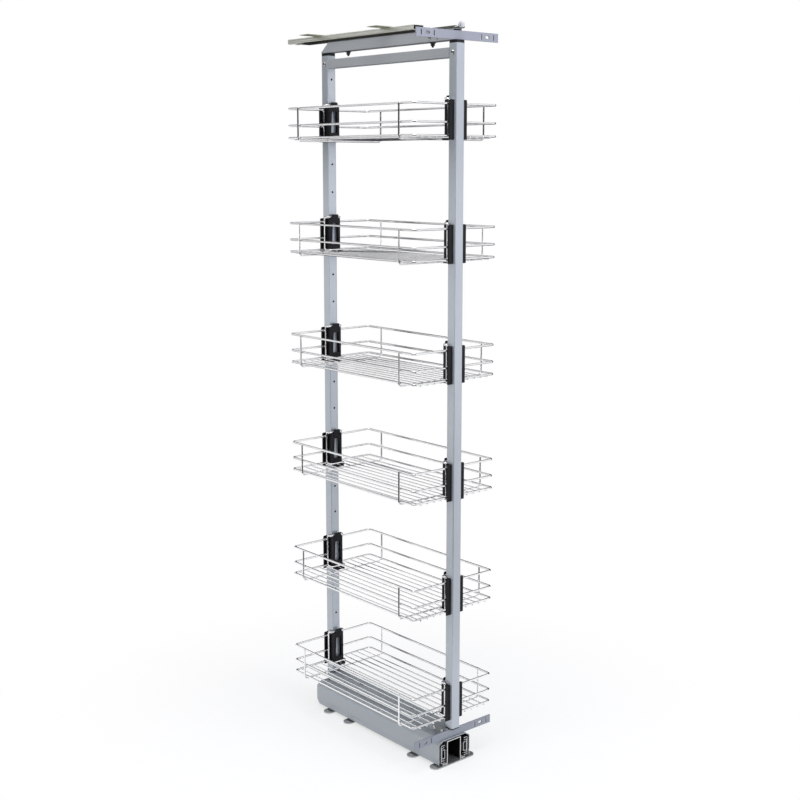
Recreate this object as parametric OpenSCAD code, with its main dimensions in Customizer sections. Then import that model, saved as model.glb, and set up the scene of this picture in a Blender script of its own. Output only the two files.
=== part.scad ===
// Pull out larder unit for a narrow tall kitchen cabinet: six wire baskets on a
// telescopic frame that runs out to the front on a floor runner and a top slide.
// Frame: X across the cabinet, front at -Y, +Z up, origin on the floor at the middle.

/* [Baskets] */
// Basket width between the centres of its rim wires
basket_w = 253; // [200:1:400]
// Basket length between the centres of its rim wires
basket_l = 474; // [400:1:520]
// Rim wire diameter
rim_d = 5; // [4:0.5:6]
// Floor wire diameter
floor_wire_d = 3; // [2:0.5:4]
// Cross wire diameter
cross_wire_d = 4; // [3:0.5:5]
// Number of floor wires
floor_wires = 11; // [7:2:15]
// Height of the middle rim above the bottom rim
mid_rim_z = 30; // [20:1:40]
// Height of the top rim above the bottom rim
top_rim_z = 71; // [50:1:78]
// Corner radius of the rims, to the wire centre
rim_corner_r = 7; // [6:1:30]
// Distance of each cross wire from the end rims
cross_inset = 47; // [40:1:90]
// Bend radius of the cross wires, to the wire centre
cross_bend_r = 8; // [6:1:14]

/* [Tiers] */
// Height of the lowest basket's bottom rim above the floor
first_tier_z = 121; // [115:1:140]
// Height from the lowest basket to the second
second_tier_gap = 268; // [240:1:320]
// Height from one basket to the next above the second
tier_pitch = 280; // [240:10:320]
// Number of baskets
tiers = 6; // [6]

/* [Posts] */
// Side of the square post tube
post_side = 25; // [22:0.5:28]
// Wall of the tubes
tube_wall = 1.5; // [1.2:0.1:2]
// Outer corner radius of the tubes
tube_r = 2; // [1:0.5:3]
// Diameter of the holes in the posts
hole_d = 5.2; // [5:0.1:6]
// Spacing of the holes in the posts
hole_pitch = 70; // [60:5:80]
// Height of the post above the top basket's bottom rim
post_above_top = 208.5; // [200:0.5:260]
// Flange thickness of the black post caps
cap_t = 2.5; // [1.5:0.5:4]
// Depth that a cap's plug reaches into the tube
cap_plug = 12; // [6:1:20]
// Height of the crossbar tube
crossbar_h = 22; // [18:0.5:30]
// Distance from the crossbar's centre to the top of the posts
crossbar_drop = 24.5; // [22:0.5:40]

/* [Beams] */
// Width of the lower beam
lower_beam_w = 38; // [30:1:50]
// Height of the lower beam
lower_beam_h = 21.5; // [16:0.5:30]
// Width of the upper beam
upper_beam_w = 27; // [25:0.5:36]
// Height of the upper beam
upper_beam_h = 25.5; // [24:0.5:40]
// Length of the bevel at the upper beam's rear end
beam_bevel_l = 30; // [20:1:34]
// Sheet thickness of the beams
beam_wall = 2; // [1.5:0.5:2.5]
// Outer radius of the bends in the lower beam and the runner cover
bend_r = 3; // [3:0.5:4]
// Length of the lower beam's slots
slot_l = 18; // [12:1:24]
// Width of the lower beam's slots
slot_w = 8; // [5:0.5:10]
// Spacing of the two slots of a pair
slot_pitch = 42; // [30:1:60]
// Distance from the middle forward to the lower beam's front pair of slots
front_slots_y = 111; // [90:1:125]
// Distance from the middle back to the lower beam's rear pair of slots
rear_slots_y = 134; // [100:1:150]
// Distance of the upper beam's bolts from the middle
bolt_y = 156; // [130:1:175]
// Shank diameter of the upper beam's bolts
bolt_d = 6; // [5:1:7]
// Height of a bolt's hexagon under its flange
bolt_head_h = 5.5; // [4:0.5:6]
// Length of the thread that stands out under the hexagon
bolt_end_l = 3.5; // [2:0.5:3.5]

/* [Floor runner] */
// How much longer the runner cover and its slides are than a basket
runner_over = 16; // [0:1:20]
// Width of the runner cover
cover_w = 102; // [96:1:120]
// Height of the cover's top above the floor
cover_top_z = 66; // [62:1:80]
// Height of the cover's bottom edge above the floor
cover_gap = 7; // [5:1:10]
// Sheet thickness of the cover
cover_wall = 2; // [1.5:0.5:2.5]
// Height that the chamfer along the cover's top edges takes
cover_chamfer_h = 9; // [4:1:12]
// Width that the chamfer along the cover's top edges takes
cover_chamfer_w = 14; // [6:1:16]
// Width of the base channel
channel_w = 45; // [36:1:52]
// Height of the base channel's top above the floor
channel_top_z = 60; // [54:1:61]
// Sheet thickness of the base channel
channel_wall = 2; // [1.5:0.5:3]
// Width of the base channel's foot flanges
channel_foot = 14; // [10:1:18]

/* [Floor slides] */
// Height of a floor slide's section
slide_h = 46; // [40:1:48]
// Thickness of a floor slide's section
slide_t = 12.7; // [12:0.1:14]
// Height of a floor slide's middle line above the floor
slide_z = 31; // [30:0.5:34]
// Sheet thickness of the slide members
slide_wall = 1.2; // [1:0.1:1.5]
// Thickness of the liner between the cover and a floor slide
liner_t = 5.4; // [2:0.2:6]
// Ball diameter of the floor slides
ball_d = 3.9; // [3:0.1:4.2]
// Number of balls in each ball strip
balls = 8; // [4:1:12]
// Spacing of the balls in a strip
ball_pitch = 27; // [20:1:28]

/* [Floor plate] */
// Thickness of the floor plate
plate_t = 3; // [2:0.5:4]
// Spacing of the screw holes across the runner
plate_hole_x = 118; // [112:1:150]
// Spacing of the two front pairs of ears along the runner, as of the two rear pairs
plate_hole_y = 85; // [60:1:100]
// Distance from the runner's rear end to the middle of the rear pairs of ears
rear_ears_in = 99; // [60:1:120]
// Distance from the runner's front end to the middle of the front pairs of ears
front_ears_in = 51; // [45:1:100]
// Radius of the rounded ears
ear_r = 14; // [9:1:18]
// Diameter of the screw holes
plate_hole_d = 6; // [4:0.5:8]

/* [Top slide] */
// Length of the top rail
rail_l = 494; // [440:2:520]
// How far the top rail's middle lies behind the carriage's middle
rail_back = 141; // [25:1:150]
// Length of the top slide's middle member
glide_l = 440; // [400:5:460]
// How far the top slide's middle member lies behind the carriage's middle
glide_back = 115; // [40:1:130]
// Width of the top rail
rail_w = 32; // [28:1:40]
// Height of the top rail
rail_h = 12; // [11:0.5:16]
// Height of the carriage member of the top slide
rail_seat_h = 5; // [5:0.5:12]
// Gap between the top rail and the carriage member
rail_gap = 0.8; // [0.5:0.1:2]
// Sheet thickness of the top slide's members
rail_wall = 1.2; // [1:0.1:1.4]
// Outer radius of the bends in the rails
rail_bend_r = 1.8; // [1.6:0.1:2]
// Width of the slot along the rails
rail_slot = 14; // [10:1:18]
// Running clearance between the top slide's members
slide_play = 0.3; // [0.2:0.05:0.5]
// Gap between the middle member's heads and the sides and floors of the rails
head_gap = 0.6; // [0.5:0.1:1]
// Distance from the rail's rear end to the middle of the rear screw tab
rear_tab_in = 126; // [60:1:180]
// Distance from the rail's front end to the middle of the front screw tab
front_tab_in = 100; // [60:1:180]
// Spacing of a tab's screw holes across the rail
tab_hole_x = 90; // [60:1:100]
// Diameter of the end roller
roller_d = 13; // [10:1:14]
// Width of the end roller
roller_w = 7; // [5:0.5:10]
// Diameter of the end roller's pin
roller_pin_d = 3; // [2.5:0.5:4]

/* [Door brackets] */
// Length of a door bracket
door_bracket_l = 250; // [200:1:264]
// Height of a door bracket
door_bracket_h = 20; // [16:0.5:20.5]
// Thickness of a door bracket
door_bracket_t = 2.5; // [2:0.5:4]
// How far the door brackets' faces lie behind the front of the posts
door_set_back = 8.5; // [0:0.5:10]
// Height of the upper door bracket's bottom edge above the upper beam's bottom
upper_bracket_up = 0.5; // [0.5:0.5:3]
// Distance of the long door screw holes' middles from the bracket's ends
door_hole_in = 34; // [30:1:60]
// Distance of each upright door slot from the long hole's middle
door_slot_gap = 19; // [14:1:22]
// Length of the long door screw holes
door_hole_l = 12; // [8:1:16]
// Height of the long door screw holes
door_hole_d = 6; // [4:0.5:7]
// Width of the upright door slots
door_slot_w = 3; // [2:0.5:6]
// Height of the upright door slots
door_slot_h = 12; // [10:1:14]
// How far a door bracket's tongue reaches back into its beam
tongue_l = 96; // [80:1:110]

/* [Basket brackets] */
// Wall of a basket bracket
clip_wall = 2.6; // [2:0.2:3.4]
// Half width of a bracket over its flanges
clip_half_w = 27; // [24:0.5:32]
// Height of the bracket's seat above the bottom rim
clip_seat_z = 80; // [78:1:90]
// Depth of the bracket's foot below the bottom rim
clip_foot_z = 9; // [8.5:0.5:12]
// Height of the hooked lug above the seat
lug_h = 10; // [6:1:14]
// Width of the hooked lug
lug_w = 21; // [14:1:26]
// Depth of the bracket's front behind which the basket hangs
clip_depth = 10.3; // [9.5:0.1:14]
// Width of the window in the bracket, at its top
window_w = 15; // [8:1:18]
// Width of the window in the bracket, at its foot
window_foot_w = 20; // [8:1:22]
// Radius of the rounded top corners of a bracket
clip_r = 3.5; // [1:0.5:5]
// Half distance between the legs of a basket's hanging hoop
hoop_leg_x = 20; // [18:0.5:24]
// Height of the lower peg above the bottom rim
peg_z = 6; // [4:0.5:8]

/* [Hidden] */
$fn = 32;
touch = 0.05;                 // gap between wires that are welded side by side
fit = 0.1;                    // gap of a part that is dropped in
side_gap = 0.3;               // gap of a plastic part round a post
eps = 1;                      // overrun of a cut

half_w = basket_w / 2;
half_l = basket_l / 2;
post_y = basket_l / 2;        // the end rims pass the middle of the posts
post_face = post_y - post_side / 2;
post_outer = post_y + post_side / 2;
runner_l = basket_l + runner_over;
rear_ears_y = runner_l / 2 - rear_ears_in;
front_ears_y = runner_l / 2 - front_ears_in;
door_face_y = -post_outer + door_set_back;
door_back_y = door_face_y + door_bracket_t;

lower_beam_z = cover_top_z;
lower_beam_top = lower_beam_z + lower_beam_h;
post_z0 = lower_beam_top + cap_t;
top_tier_z = first_tier_z + second_tier_gap + (tiers - 2) * tier_pitch;
post_z1 = top_tier_z + post_above_top;
upper_beam_z = post_z1 + cap_t;
upper_beam_top = upper_beam_z + upper_beam_h;
crossbar_z = post_z1 - crossbar_drop;
rail_z = upper_beam_top + rail_seat_h + rail_gap;
rail_top = rail_z + rail_h;
roller_gap = 0.4;             // gap between the end roller and what holds it
roller_y = -runner_l / 2 - roller_d / 2 - roller_gap;
roller_z = upper_beam_top + roller_d / 2 + roller_gap;
lower_bracket_z = cover_top_z + side_gap;
second_peg_z = peg_z + hole_pitch;

// Height of basket k's bottom rim, counted 1 at the top to tiers at the floor
function tier_z(k) = k == tiers ? first_tier_z
    : first_tier_z + second_tier_gap + (tiers - 1 - k) * tier_pitch;

// Heights of the holes in the posts: an even row, and one pair at the lowest tier
second_tier_z = first_tier_z + second_tier_gap;
row_first = second_tier_z + peg_z - 2 * hole_pitch;
row_count = floor((crossbar_z - crossbar_h / 2 - hole_d - row_first) / hole_pitch) + 1;
hole_zs = concat([first_tier_z + peg_z, first_tier_z + second_peg_z],
                 [for (i = [0 : row_count - 1]) row_first + i * hole_pitch]);

// Rims and hanging hoop of a basket
rim_zs = [0, mid_rim_z, top_rim_z];
hoop_bend = rim_d / 2 + 1;
hoop_bar_y = post_face - rim_d / 2 - 2;
hoop_top_z = clip_seat_z + rim_d / 2 + fit;
hoop_leg_y = half_l - rim_d - touch;
clip_front = post_face - clip_depth;
hoop_low_y = clip_front - rim_d / 2 - 0.2;
floor_wire_z = -(rim_d + floor_wire_d) / 2 - touch;
cross_wire_z = floor_wire_z - (floor_wire_d + cross_wire_d) / 2 - touch;
cross_wire_x = half_w + (rim_d + cross_wire_d) / 2 + touch;
floor_pitch = basket_w / (floor_wires + 1);

// Basket bracket
clip_in_x = post_side / 2 + side_gap;
clip_out_x = clip_in_x + clip_wall;
flange_y = half_l + rim_d / 2 + 0.9;
ledge_z = -rim_d / 2 - fit;
foot_t = clip_foot_z - rim_d / 2 - floor_wire_d - 0.6;

// Floor slide section, measured from the outer member's back towards the middle
ball_gap = 0.25;
outer_y = slide_h / 2;
mid_y = outer_y - slide_wall - 2 * ball_gap - ball_d;
inner_y = mid_y - slide_wall - 2 * ball_gap - ball_d;
outer_ball_y = mid_y + ball_gap + ball_d / 2;
inner_ball_y = inner_y + ball_gap + ball_d / 2;
ball_x = slide_t * 0.55;
mid_back = slide_wall + 1;
liner_x = cover_w / 2 - cover_wall;
slide_x = liner_x - liner_t;
spacer_t = slide_x - slide_t - channel_w / 2;

// ---------- shapes used by several parts ----------

// Outline of a folded sheet: an open path thickened to its left by t, with mitred folds
function unit(v) = v / norm(v);
function left_of(v) = [-v[1], v[0]];
function path_dir(p, i) = unit(p[i + 1] - p[i]);
function fold_offset(p, i) =
    i == 0 ? left_of(path_dir(p, 0))
    : i == len(p) - 1 ? left_of(path_dir(p, i - 1))
    : let (a = left_of(path_dir(p, i - 1)), b = left_of(path_dir(p, i))) (a + b) / (1 + a * b);
function sheet(p, t) = concat(p, [for (i = [len(p) - 1 : -1 : 0]) p[i] + t * fold_offset(p, i)]);

// The same open path with every fold rounded off to radius r, in a few flats
function turn_at(p, i) = let (a = path_dir(p, i - 1), b = path_dir(p, i))
    atan2(a[0] * b[1] - a[1] * b[0], a * b);
function spun(v, g) = [v[0] * cos(g) - v[1] * sin(g), v[0] * sin(g) + v[1] * cos(g)];
function rounded(p, r, flats = 4) = concat([p[0]], [
    for (i = [1 : len(p) - 2])
        let (a = path_dir(p, i - 1), turn = turn_at(p, i), spoke = sign(turn) * r * left_of(a),
             centre = p[i] - r * tan(abs(turn) / 2) * a + spoke)
        for (j = [0 : flats]) centre - spun(spoke, turn * j / flats)], [p[len(p) - 1]]);

// Mirror image of an open path across X = 0, joined to the path itself
function both_sides(p) = concat(p, [for (i = [len(p) - 1 : -1 : 0]) [-p[i][0], p[i][1]]]);

// A section in X and Z drawn out along Y
module along_y(y0, y1) {
    translate([0, y1, 0]) rotate([90, 0, 0]) linear_extrude(y1 - y0) children();
}

// A box given by its low and high corners
module span(low, high) {
    translate(low) cube(high - low);
}

module mirrored_x() {
    children();
    mirror([1, 0, 0]) children();
}

module mirrored_y() {
    children();
    mirror([0, 1, 0]) children();
}

// Rectangle w by h with rounded corners, its middle at the origin
module round_rect(w, h, r) {
    translate([-w / 2 + r, -h / 2]) square([w - 2 * r, h]);
    translate([-w / 2, -h / 2 + r]) square([w, h - 2 * r]);
    for (x = [-1, 1], y = [-1, 1]) translate([x * (w / 2 - r), y * (h / 2 - r)]) circle(r = r);
}

// Round wire or rod along one axis, starting at a point
module rod_x(p, l, d) {
    translate(p) rotate([0, 90, 0]) cylinder(h = l, d = d);
}

module rod_y(p, l, d) {
    translate(p) rotate([-90, 0, 0]) cylinder(h = l, d = d);
}

module rod_z(p, l, d) {
    translate(p) cylinder(h = l, d = d);
}

// Quarter bend of a wire round the Z axis, in the +X +Y quadrant
module bend(r, d) {
    rotate_extrude(angle = 90) translate([r, 0]) circle(d = d);
}

// Cuts the long edge at y, z off at 45 degrees, right across X
module corner_cut(y, z, leg) {
    translate([0, y, z]) rotate([45, 0, 0])
        cube([4 * cover_w, leg * sqrt(2), leg * sqrt(2)], center = true);
}

// Slopes the top of a beam's rear end off: run back from the end at y, drop down from z
module end_bevel(y, z, run, drop) {
    translate([-2 * cover_w, y, z]) rotate([90, 0, 90]) linear_extrude(4 * cover_w)
        polygon([[-run, 0], [-run, eps], [eps, eps], [eps, -drop], [0, -drop]]);
}

// Slot cut along Z through a plate: round ends, length along X
module slot_z(l, w, h) {
    linear_extrude(h) {
        translate([-(l - w) / 2, -w / 2]) square([l - w, w]);
        translate([-(l - w) / 2, 0]) circle(d = w);
        translate([(l - w) / 2, 0]) circle(d = w);
    }
}

// ---------- fixed to the cabinet ----------

ear_ys = [for (m = [-front_ears_y, rear_ears_y], s = [-1, 1]) m + s * plate_hole_y / 2];

module floor_plate() {
    hole_x = plate_hole_x / 2;
    end_in = 5;
    strip_w = channel_w + 2 * (channel_foot + 3);
    strip_l = ear_ys[3] - ear_ys[0] + 2 * ear_r;
    color("silver") difference() {
        linear_extrude(plate_t) {
            for (y = ear_ys) translate([0, y]) {
                square([2 * (hole_x - end_in), 2 * ear_r], center = true);
                for (s = [-1, 1]) translate([s * (hole_x - end_in), 0]) circle(r = ear_r);
            }
            translate([-strip_w / 2, ear_ys[0] - ear_r]) square([strip_w, strip_l]);
        }
        for (s = [-1, 1], y = ear_ys)
            rod_z([s * hole_x, y, -eps], plate_t + 2 * eps, plate_hole_d);
        for (p = rivet_spots) rod_z([p[0], p[1], -eps], plate_t + 2 * eps, rivet_d);
    }
}

module base_channel() {
    color("darkgray") difference() {
        along_y(-runner_l / 2 + 1, runner_l / 2 - 1) polygon(channel_section(channel_w / 2));
        for (p = rivet_spots)
            rod_z([p[0], p[1], plate_t - eps], channel_wall + 2 * eps, rivet_d);
    }
}

// Inverted U with feet turned outwards
function channel_section(side) = sheet([
    [side + channel_foot, plate_t], [side - channel_wall, plate_t],
    [side - channel_wall, channel_top_z - channel_wall],
    [-side + channel_wall, channel_top_z - channel_wall],
    [-side + channel_wall, plate_t], [-side - channel_foot, plate_t]], -channel_wall);

module slide_spacers() {
    color("dimgray") mirrored_x()
        span([channel_w / 2, -runner_l / 2 + 1, slide_z - inner_y + 1],
             [channel_w / 2 + spacer_t, runner_l / 2 - 1, slide_z + inner_y - 1]);
}

// C-shaped member of a floor slide, open towards +X or -X
module slide_member(back, reach, half_h, lip) {
    dir = sign(reach);
    path = [[back + reach, half_h - lip], [back + reach - dir * lip, half_h],
            [back + dir * lip, half_h], [back, half_h - lip],
            [back, -half_h + lip], [back + dir * lip, -half_h],
            [back + reach - dir * lip, -half_h], [back + reach, -half_h + lip]];
    polygon(sheet(path, dir * slide_wall));
}

// Places a slide section with its outer back at slide_x, facing the middle, on both sides
module on_both_slides(y0, y1) {
    mirrored_x() along_y(y0, y1) translate([slide_x, slide_z]) mirror([1, 0]) children();
}

module floor_slide_fixed() {
    color("lightgray") on_both_slides(-runner_l / 2, runner_l / 2)
        slide_member(slide_t, -(slide_t - mid_back - slide_wall - 1), inner_y, slide_wall);
}

module floor_slide_mid() {
    color("lightgray") on_both_slides(-runner_l / 2, runner_l / 2)
        slide_member(mid_back, slide_t - mid_back - 1.5, mid_y, slide_wall);
}

module floor_slide_outer() {
    color("gainsboro") on_both_slides(-runner_l / 2, runner_l / 2)
        slide_member(0, slide_t - 1, outer_y, slide_wall);
}

// One strip of balls in its cage; the first ball lies at y0
module ball_strip(x, z, y0) {
    cage = ball_d * 0.4;
    for (i = [0 : balls - 1]) translate([x, y0 + i * ball_pitch, z]) sphere(d = ball_d);
    span([x - cage / 2, y0 - ball_d, z - cage / 2],
         [x + cage / 2, y0 + (balls - 1) * ball_pitch + ball_d, z + cage / 2]);
}

module floor_slide_balls() {
    x = slide_x - ball_x;
    run = (balls - 1) * ball_pitch;
    color("whitesmoke") mirrored_x() for (s = [-1, 1]) {
        ball_strip(x, slide_z + s * outer_ball_y, -runner_l / 2 + 2 * ball_d);
        ball_strip(x, slide_z + s * inner_ball_y, runner_l / 2 - run - 2 * ball_d);
    }
}

rivet_d = 5;
rivet_spots = [for (y = ear_ys, s = [-1, 1]) [s * (channel_w + channel_foot) / 2, y]];

// Rivets, flush under the plate and with a flat head on the channel's feet
module base_rivets() {
    color("lightgray") for (p = rivet_spots) {
        rod_z([p[0], p[1], 0], plate_t + channel_wall, rivet_d);
        rod_z([p[0], p[1], plate_t + channel_wall], 1.5, 9);
    }
}

// ---------- top slide ----------

// C-rail section open downwards, width w, height h, lying on z = 0, with inturned lips
module rail_section(h) {
    path = [[rail_slot / 2, 0], [rail_w / 2, 0], [rail_w / 2, h]];
    polygon(sheet(rounded(both_sides(path), rail_bend_r), rail_wall));
}

module top_rail() {
    color([0.80, 0.82, 0.66])
        along_y(rail_back - rail_l / 2, rail_back + rail_l / 2)
            translate([0, rail_z]) rail_section(rail_h);
}

// Carriage member, with an ear at its front end that holds the end roller's pin
module top_slide_seat() {
    ear_x = roller_w / 2 + roller_gap;
    ear_t = 2;
    ear_l = 10;
    head_t = 1.2;
    color("gray") {
        difference() {
            along_y(-runner_l / 2, runner_l / 2) translate([0, upper_beam_top + rail_seat_h])
                mirror([0, 1]) rail_section(rail_seat_h);
            for (s = [-1, 1])
                rod_z([0, s * bolt_y, upper_beam_top - eps], rail_wall + 2 * eps, bolt_d + 4 * fit);
        }
        span([ear_x, roller_y - roller_pin_d, upper_beam_top],
             [ear_x + ear_t, -runner_l / 2 + ear_l, roller_z + roller_pin_d]);
        rod_x([-ear_x - head_t, roller_y, roller_z], 2 * ear_x + ear_t, roller_pin_d);
        rod_x([-ear_x - head_t, roller_y, roller_z], head_t, 2 * roller_pin_d);
    }
}

// Twin-headed section that runs in both rails
module top_slide_mid() {
    head = rail_w / 2 - rail_wall - head_gap;
    neck = rail_slot / 2 - slide_play;
    low = upper_beam_top + rail_wall + head_gap;
    high = rail_top - rail_wall - head_gap;
    neck0 = upper_beam_top + rail_seat_h - rail_wall - slide_play;
    neck1 = rail_z + rail_wall + slide_play;
    wall = 2;
    color([0.25, 0.23, 0.22]) along_y(glide_back - glide_l / 2, glide_back + glide_l / 2) {
        translate([-head, low]) square([2 * head, neck0 - low]);
        translate([-neck, neck0]) square([2 * neck, neck1 - neck0]);
        difference() {
            translate([-head, neck1]) square([2 * head, high - neck1]);
            translate([-head + wall, neck1 + wall]) square([2 * (head - wall), high - neck1]);
        }
    }
}

tab_t = 1.5;
tab_l = 37;
tab_w = tab_hole_x + 24;
tab_hole_d = 5;

// Screw tab across the top rail
module rail_tab(y) {
    difference() {
        span([-tab_w / 2, y - tab_l / 2, rail_top], [tab_w / 2, y + tab_l / 2, rail_top + tab_t]);
        for (s = [-1, 1]) rod_z([s * tab_hole_x / 2, y, rail_top - eps], tab_t + 2 * eps, tab_hole_d);
    }
}

module top_rail_tabs() {
    color([0.62, 0.66, 0.52]) {
        rail_tab(rail_back + rail_l / 2 - rear_tab_in);
        rail_tab(rail_back - rail_l / 2 + front_tab_in);
    }
}

module top_roller() {
    color("white") difference() {
        rod_x([-roller_w / 2, roller_y, roller_z], roller_w, roller_d);
        rod_x([-roller_w / 2 - eps, roller_y, roller_z], roller_w + 2 * eps,
              roller_pin_d + 2 * roller_gap);
    }
}

// ---------- carriage ----------

bead = 0.8;                   // depth of the bead along the cover's foot

module runner_cover() {
    x = cover_w / 2;
    side_z = cover_top_z - cover_chamfer_h;
    path = [[x, cover_gap], [x, cover_gap + 6], [x - bead, cover_gap + 8],
            [x - bead, cover_gap + 11], [x, cover_gap + 13],
            [x, side_z], [x - cover_chamfer_w, cover_top_z]];
    color([0.68, 0.71, 0.74]) difference() {
        along_y(-runner_l / 2, runner_l / 2)
            polygon(sheet(rounded(both_sides(path), bend_r), cover_wall));
        corner_cut(runner_l / 2, cover_gap, 10);
    }
}

module cover_liners() {
    low = slide_z - outer_y + 2;
    color([0.05, 0.05, 0.05]) mirrored_x() difference() {
        along_y(-runner_l / 2, runner_l / 2) polygon([
            [slide_x, low], [liner_x - 2 * bead, low],
            [liner_x - 2 * bead, cover_gap + 13 + bead], [liner_x, cover_gap + 13 + bead],
            [liner_x, slide_z + outer_y], [slide_x, slide_z + outer_y]]);
        corner_cut(runner_l / 2, cover_gap, 12);
    }
}

// Closed tube section, width w and height h
module tube_section(w, h, wall) {
    translate([0, h / 2]) difference() {
        round_rect(w, h, tube_r);
        square([w - 2 * wall, h - 2 * wall], center = true);
    }
}

module lower_beam() {
    w = lower_beam_w / 2;
    path = [[w, lower_beam_z], [w, lower_beam_top]];
    y1 = post_outer - 10;
    color([0.62, 0.65, 0.68]) difference() {
        along_y(door_back_y + 2 * fit, y1)
            polygon(sheet(rounded(both_sides(path), bend_r), beam_wall));
        corner_cut(y1, lower_beam_z, 12);
        for (p = foot_screws) rod_x([-w - eps, p[0], p[1]], 2 * (w + eps), screw_d + 2 * fit);
        for (m = [-front_slots_y, rear_slots_y], s = [-1, 1])
            translate([0, m + s * slot_pitch / 2, lower_beam_top - beam_wall - eps]) rotate([0, 0, 90])
                slot_z(slot_l, slot_w, beam_wall + 2 * eps);
    }
}

module upper_beam() {
    color([0.58, 0.60, 0.62]) difference() {
        along_y(door_back_y + 2 * fit, post_outer) translate([0, upper_beam_z])
            tube_section(upper_beam_w, upper_beam_h, beam_wall);
        end_bevel(post_outer, upper_beam_top, beam_bevel_l, upper_beam_h - 1.5);
        for (s = [-1, 1])
            rod_z([0, s * bolt_y, upper_beam_z - eps], upper_beam_h + 2 * eps, bolt_d + 4 * fit);
        for (p = tongue_screws)
            rod_x([-upper_beam_w, p[0], p[1]], 2 * upper_beam_w, screw_d + 2 * fit);
    }
}

// Post at y, with its hole row in the wall that faces the middle
module post(s) {
    inner = post_side - 2 * tube_wall;
    color([0.70, 0.73, 0.76]) difference() {
        translate([0, s * post_y, post_z0]) linear_extrude(post_z1 - post_z0) difference() {
            round_rect(post_side, post_side, tube_r);
            square([inner, inner], center = true);
        }
        for (z = hole_zs)
            rod_y([0, s * post_face - tube_wall - eps, z], 2 * tube_wall + 2 * eps, hole_d);
        rod_x([-post_side, s * post_y, crossbar_z], 2 * post_side, screw_d + 2 * fit);
    }
}

module front_post() { post(-1); }

module rear_post() { post(1); }

module post_cap(z, dir) {
    inner = post_side - 2 * tube_wall - 2 * fit;
    for (s = [-1, 1]) translate([0, s * post_y, z]) {
        translate([0, 0, min(0, dir * cap_t)]) linear_extrude(cap_t)
            round_rect(post_side, post_side, tube_r);
        translate([0, 0, -dir * cap_plug / 2]) cube([inner, inner, cap_plug], center = true);
    }
}

module post_caps() {
    color([0.06, 0.06, 0.07]) {
        post_cap(post_z1, 1);
        post_cap(post_z0, -1);
    }
}

module crossbar() {
    color([0.60, 0.63, 0.65])
        along_y(-post_face, post_face) translate([0, crossbar_z - crossbar_h / 2])
            tube_section(post_side, crossbar_h, tube_wall);
}

// Bolt from the top slide's seat down through the upper beam, with a flanged hex nut
module beam_bolts() {
    flange_t = 2.5;
    flange_z = upper_beam_z - flange_t;
    head_z = flange_z - bolt_head_h;
    top = upper_beam_top + rail_wall;
    color([0.08, 0.08, 0.08]) for (s = [-1, 1]) translate([0, s * bolt_y, 0]) {
        rod_z([0, 0, flange_z], flange_t, 2 * bolt_d + 2);
        translate([0, 0, head_z]) cylinder(h = bolt_head_h, d = 1.7 * bolt_d, $fn = 6);
        rod_z([0, 0, head_z - bolt_end_l], bolt_end_l, bolt_d - 1);
        rod_z([0, 0, upper_beam_z], top - upper_beam_z, bolt_d);
    }
}

// Door bracket: a plate across the front and a tongue of two webs into the beam
module door_bracket(z0, h, half_w, tongue_z0, tongue_z1, screws) {
    tongue_t = 2;
    cut_y = door_face_y - eps;
    cut_t = door_bracket_t + 2 * eps;
    difference() {
        union() {
            span([-door_bracket_l / 2, door_face_y, z0], [door_bracket_l / 2, door_back_y, z0 + h]);
            mirrored_x() span([half_w - tongue_t, door_back_y - eps, tongue_z0],
                              [half_w, -post_outer + tongue_l, tongue_z1]);
        }
        mirrored_x() translate([door_bracket_l / 2 - door_hole_in, cut_y, z0 + h / 2]) {
            rotate([-90, 0, 0]) slot_z(door_hole_l, door_hole_d, cut_t);
            for (s = [-1, 1]) translate([s * door_slot_gap, 0, 0])
                rotate([-90, 0, 0]) rotate([0, 0, 90]) slot_z(door_slot_h, door_slot_w, cut_t);
        }
        for (p = screws) rod_x([-upper_beam_w, p[0], p[1]], 2 * upper_beam_w, screw_d + 2 * fit);
    }
}

module upper_door_bracket() {
    z0 = upper_beam_z + upper_bracket_up;
    color([0.70, 0.72, 0.78])
        door_bracket(z0, door_bracket_h, upper_beam_w / 2 - beam_wall - fit,
                     upper_beam_z + beam_wall + fit, z0 + door_bracket_h - 1, tongue_screws);
}

module lower_door_bracket() {
    h = min(door_bracket_h, lower_beam_h - 1);
    color([0.70, 0.72, 0.78])
        door_bracket(lower_bracket_z, h, lower_beam_w / 2 - beam_wall - fit,
                     lower_bracket_z + 1, lower_beam_top - bend_r - fit, foot_screws);
}

foot_plate_t = 2;
foot_plate_h = 19;
foot_z = lower_beam_top - 7.5;
screw_d = 4;
screw_l = 6;
tongue_z = upper_beam_z + upper_bracket_up + 9;
foot_screws = [for (back = [24.5, 53.5]) [-post_outer + back, foot_z]];
tongue_screws = [for (back = [65.5, 89.5]) [-post_outer + back, tongue_z]];

// Rounded side plates at the foot of the front post
module foot_plates() {
    y0 = foot_screws[0][0];
    y1 = foot_screws[1][0];
    color([0.60, 0.63, 0.66]) mirrored_x() difference() {
        translate([lower_beam_w / 2, (y0 + y1) / 2, foot_z]) rotate([0, 90, 0]) rotate([0, 0, 90])
            slot_z(y1 - y0 + foot_plate_h, foot_plate_h, foot_plate_t);
        for (p = foot_screws) rod_x([0, p[0], p[1]], lower_beam_w, screw_d + 2 * fit);
    }
}

// Pan-head screw against a face that looks to +X
module screw(p) {
    head_d = 10;
    rim_h = 1.6;
    dome_h = 1.2;
    translate(p) rotate([0, 90, 0]) {
        difference() {
            union() {
                cylinder(h = rim_h, d = head_d);
                translate([0, 0, rim_h]) cylinder(h = dome_h, d1 = head_d, d2 = head_d - 3);
            }
            for (a = [0, 90]) rotate([0, 0, a]) translate([0, 0, rim_h + dome_h])
                cube([head_d / 2, 1, dome_h + rim_h], center = true);
        }
        translate([0, 0, -screw_l]) cylinder(h = screw_l, d = screw_d);
    }
}

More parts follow.
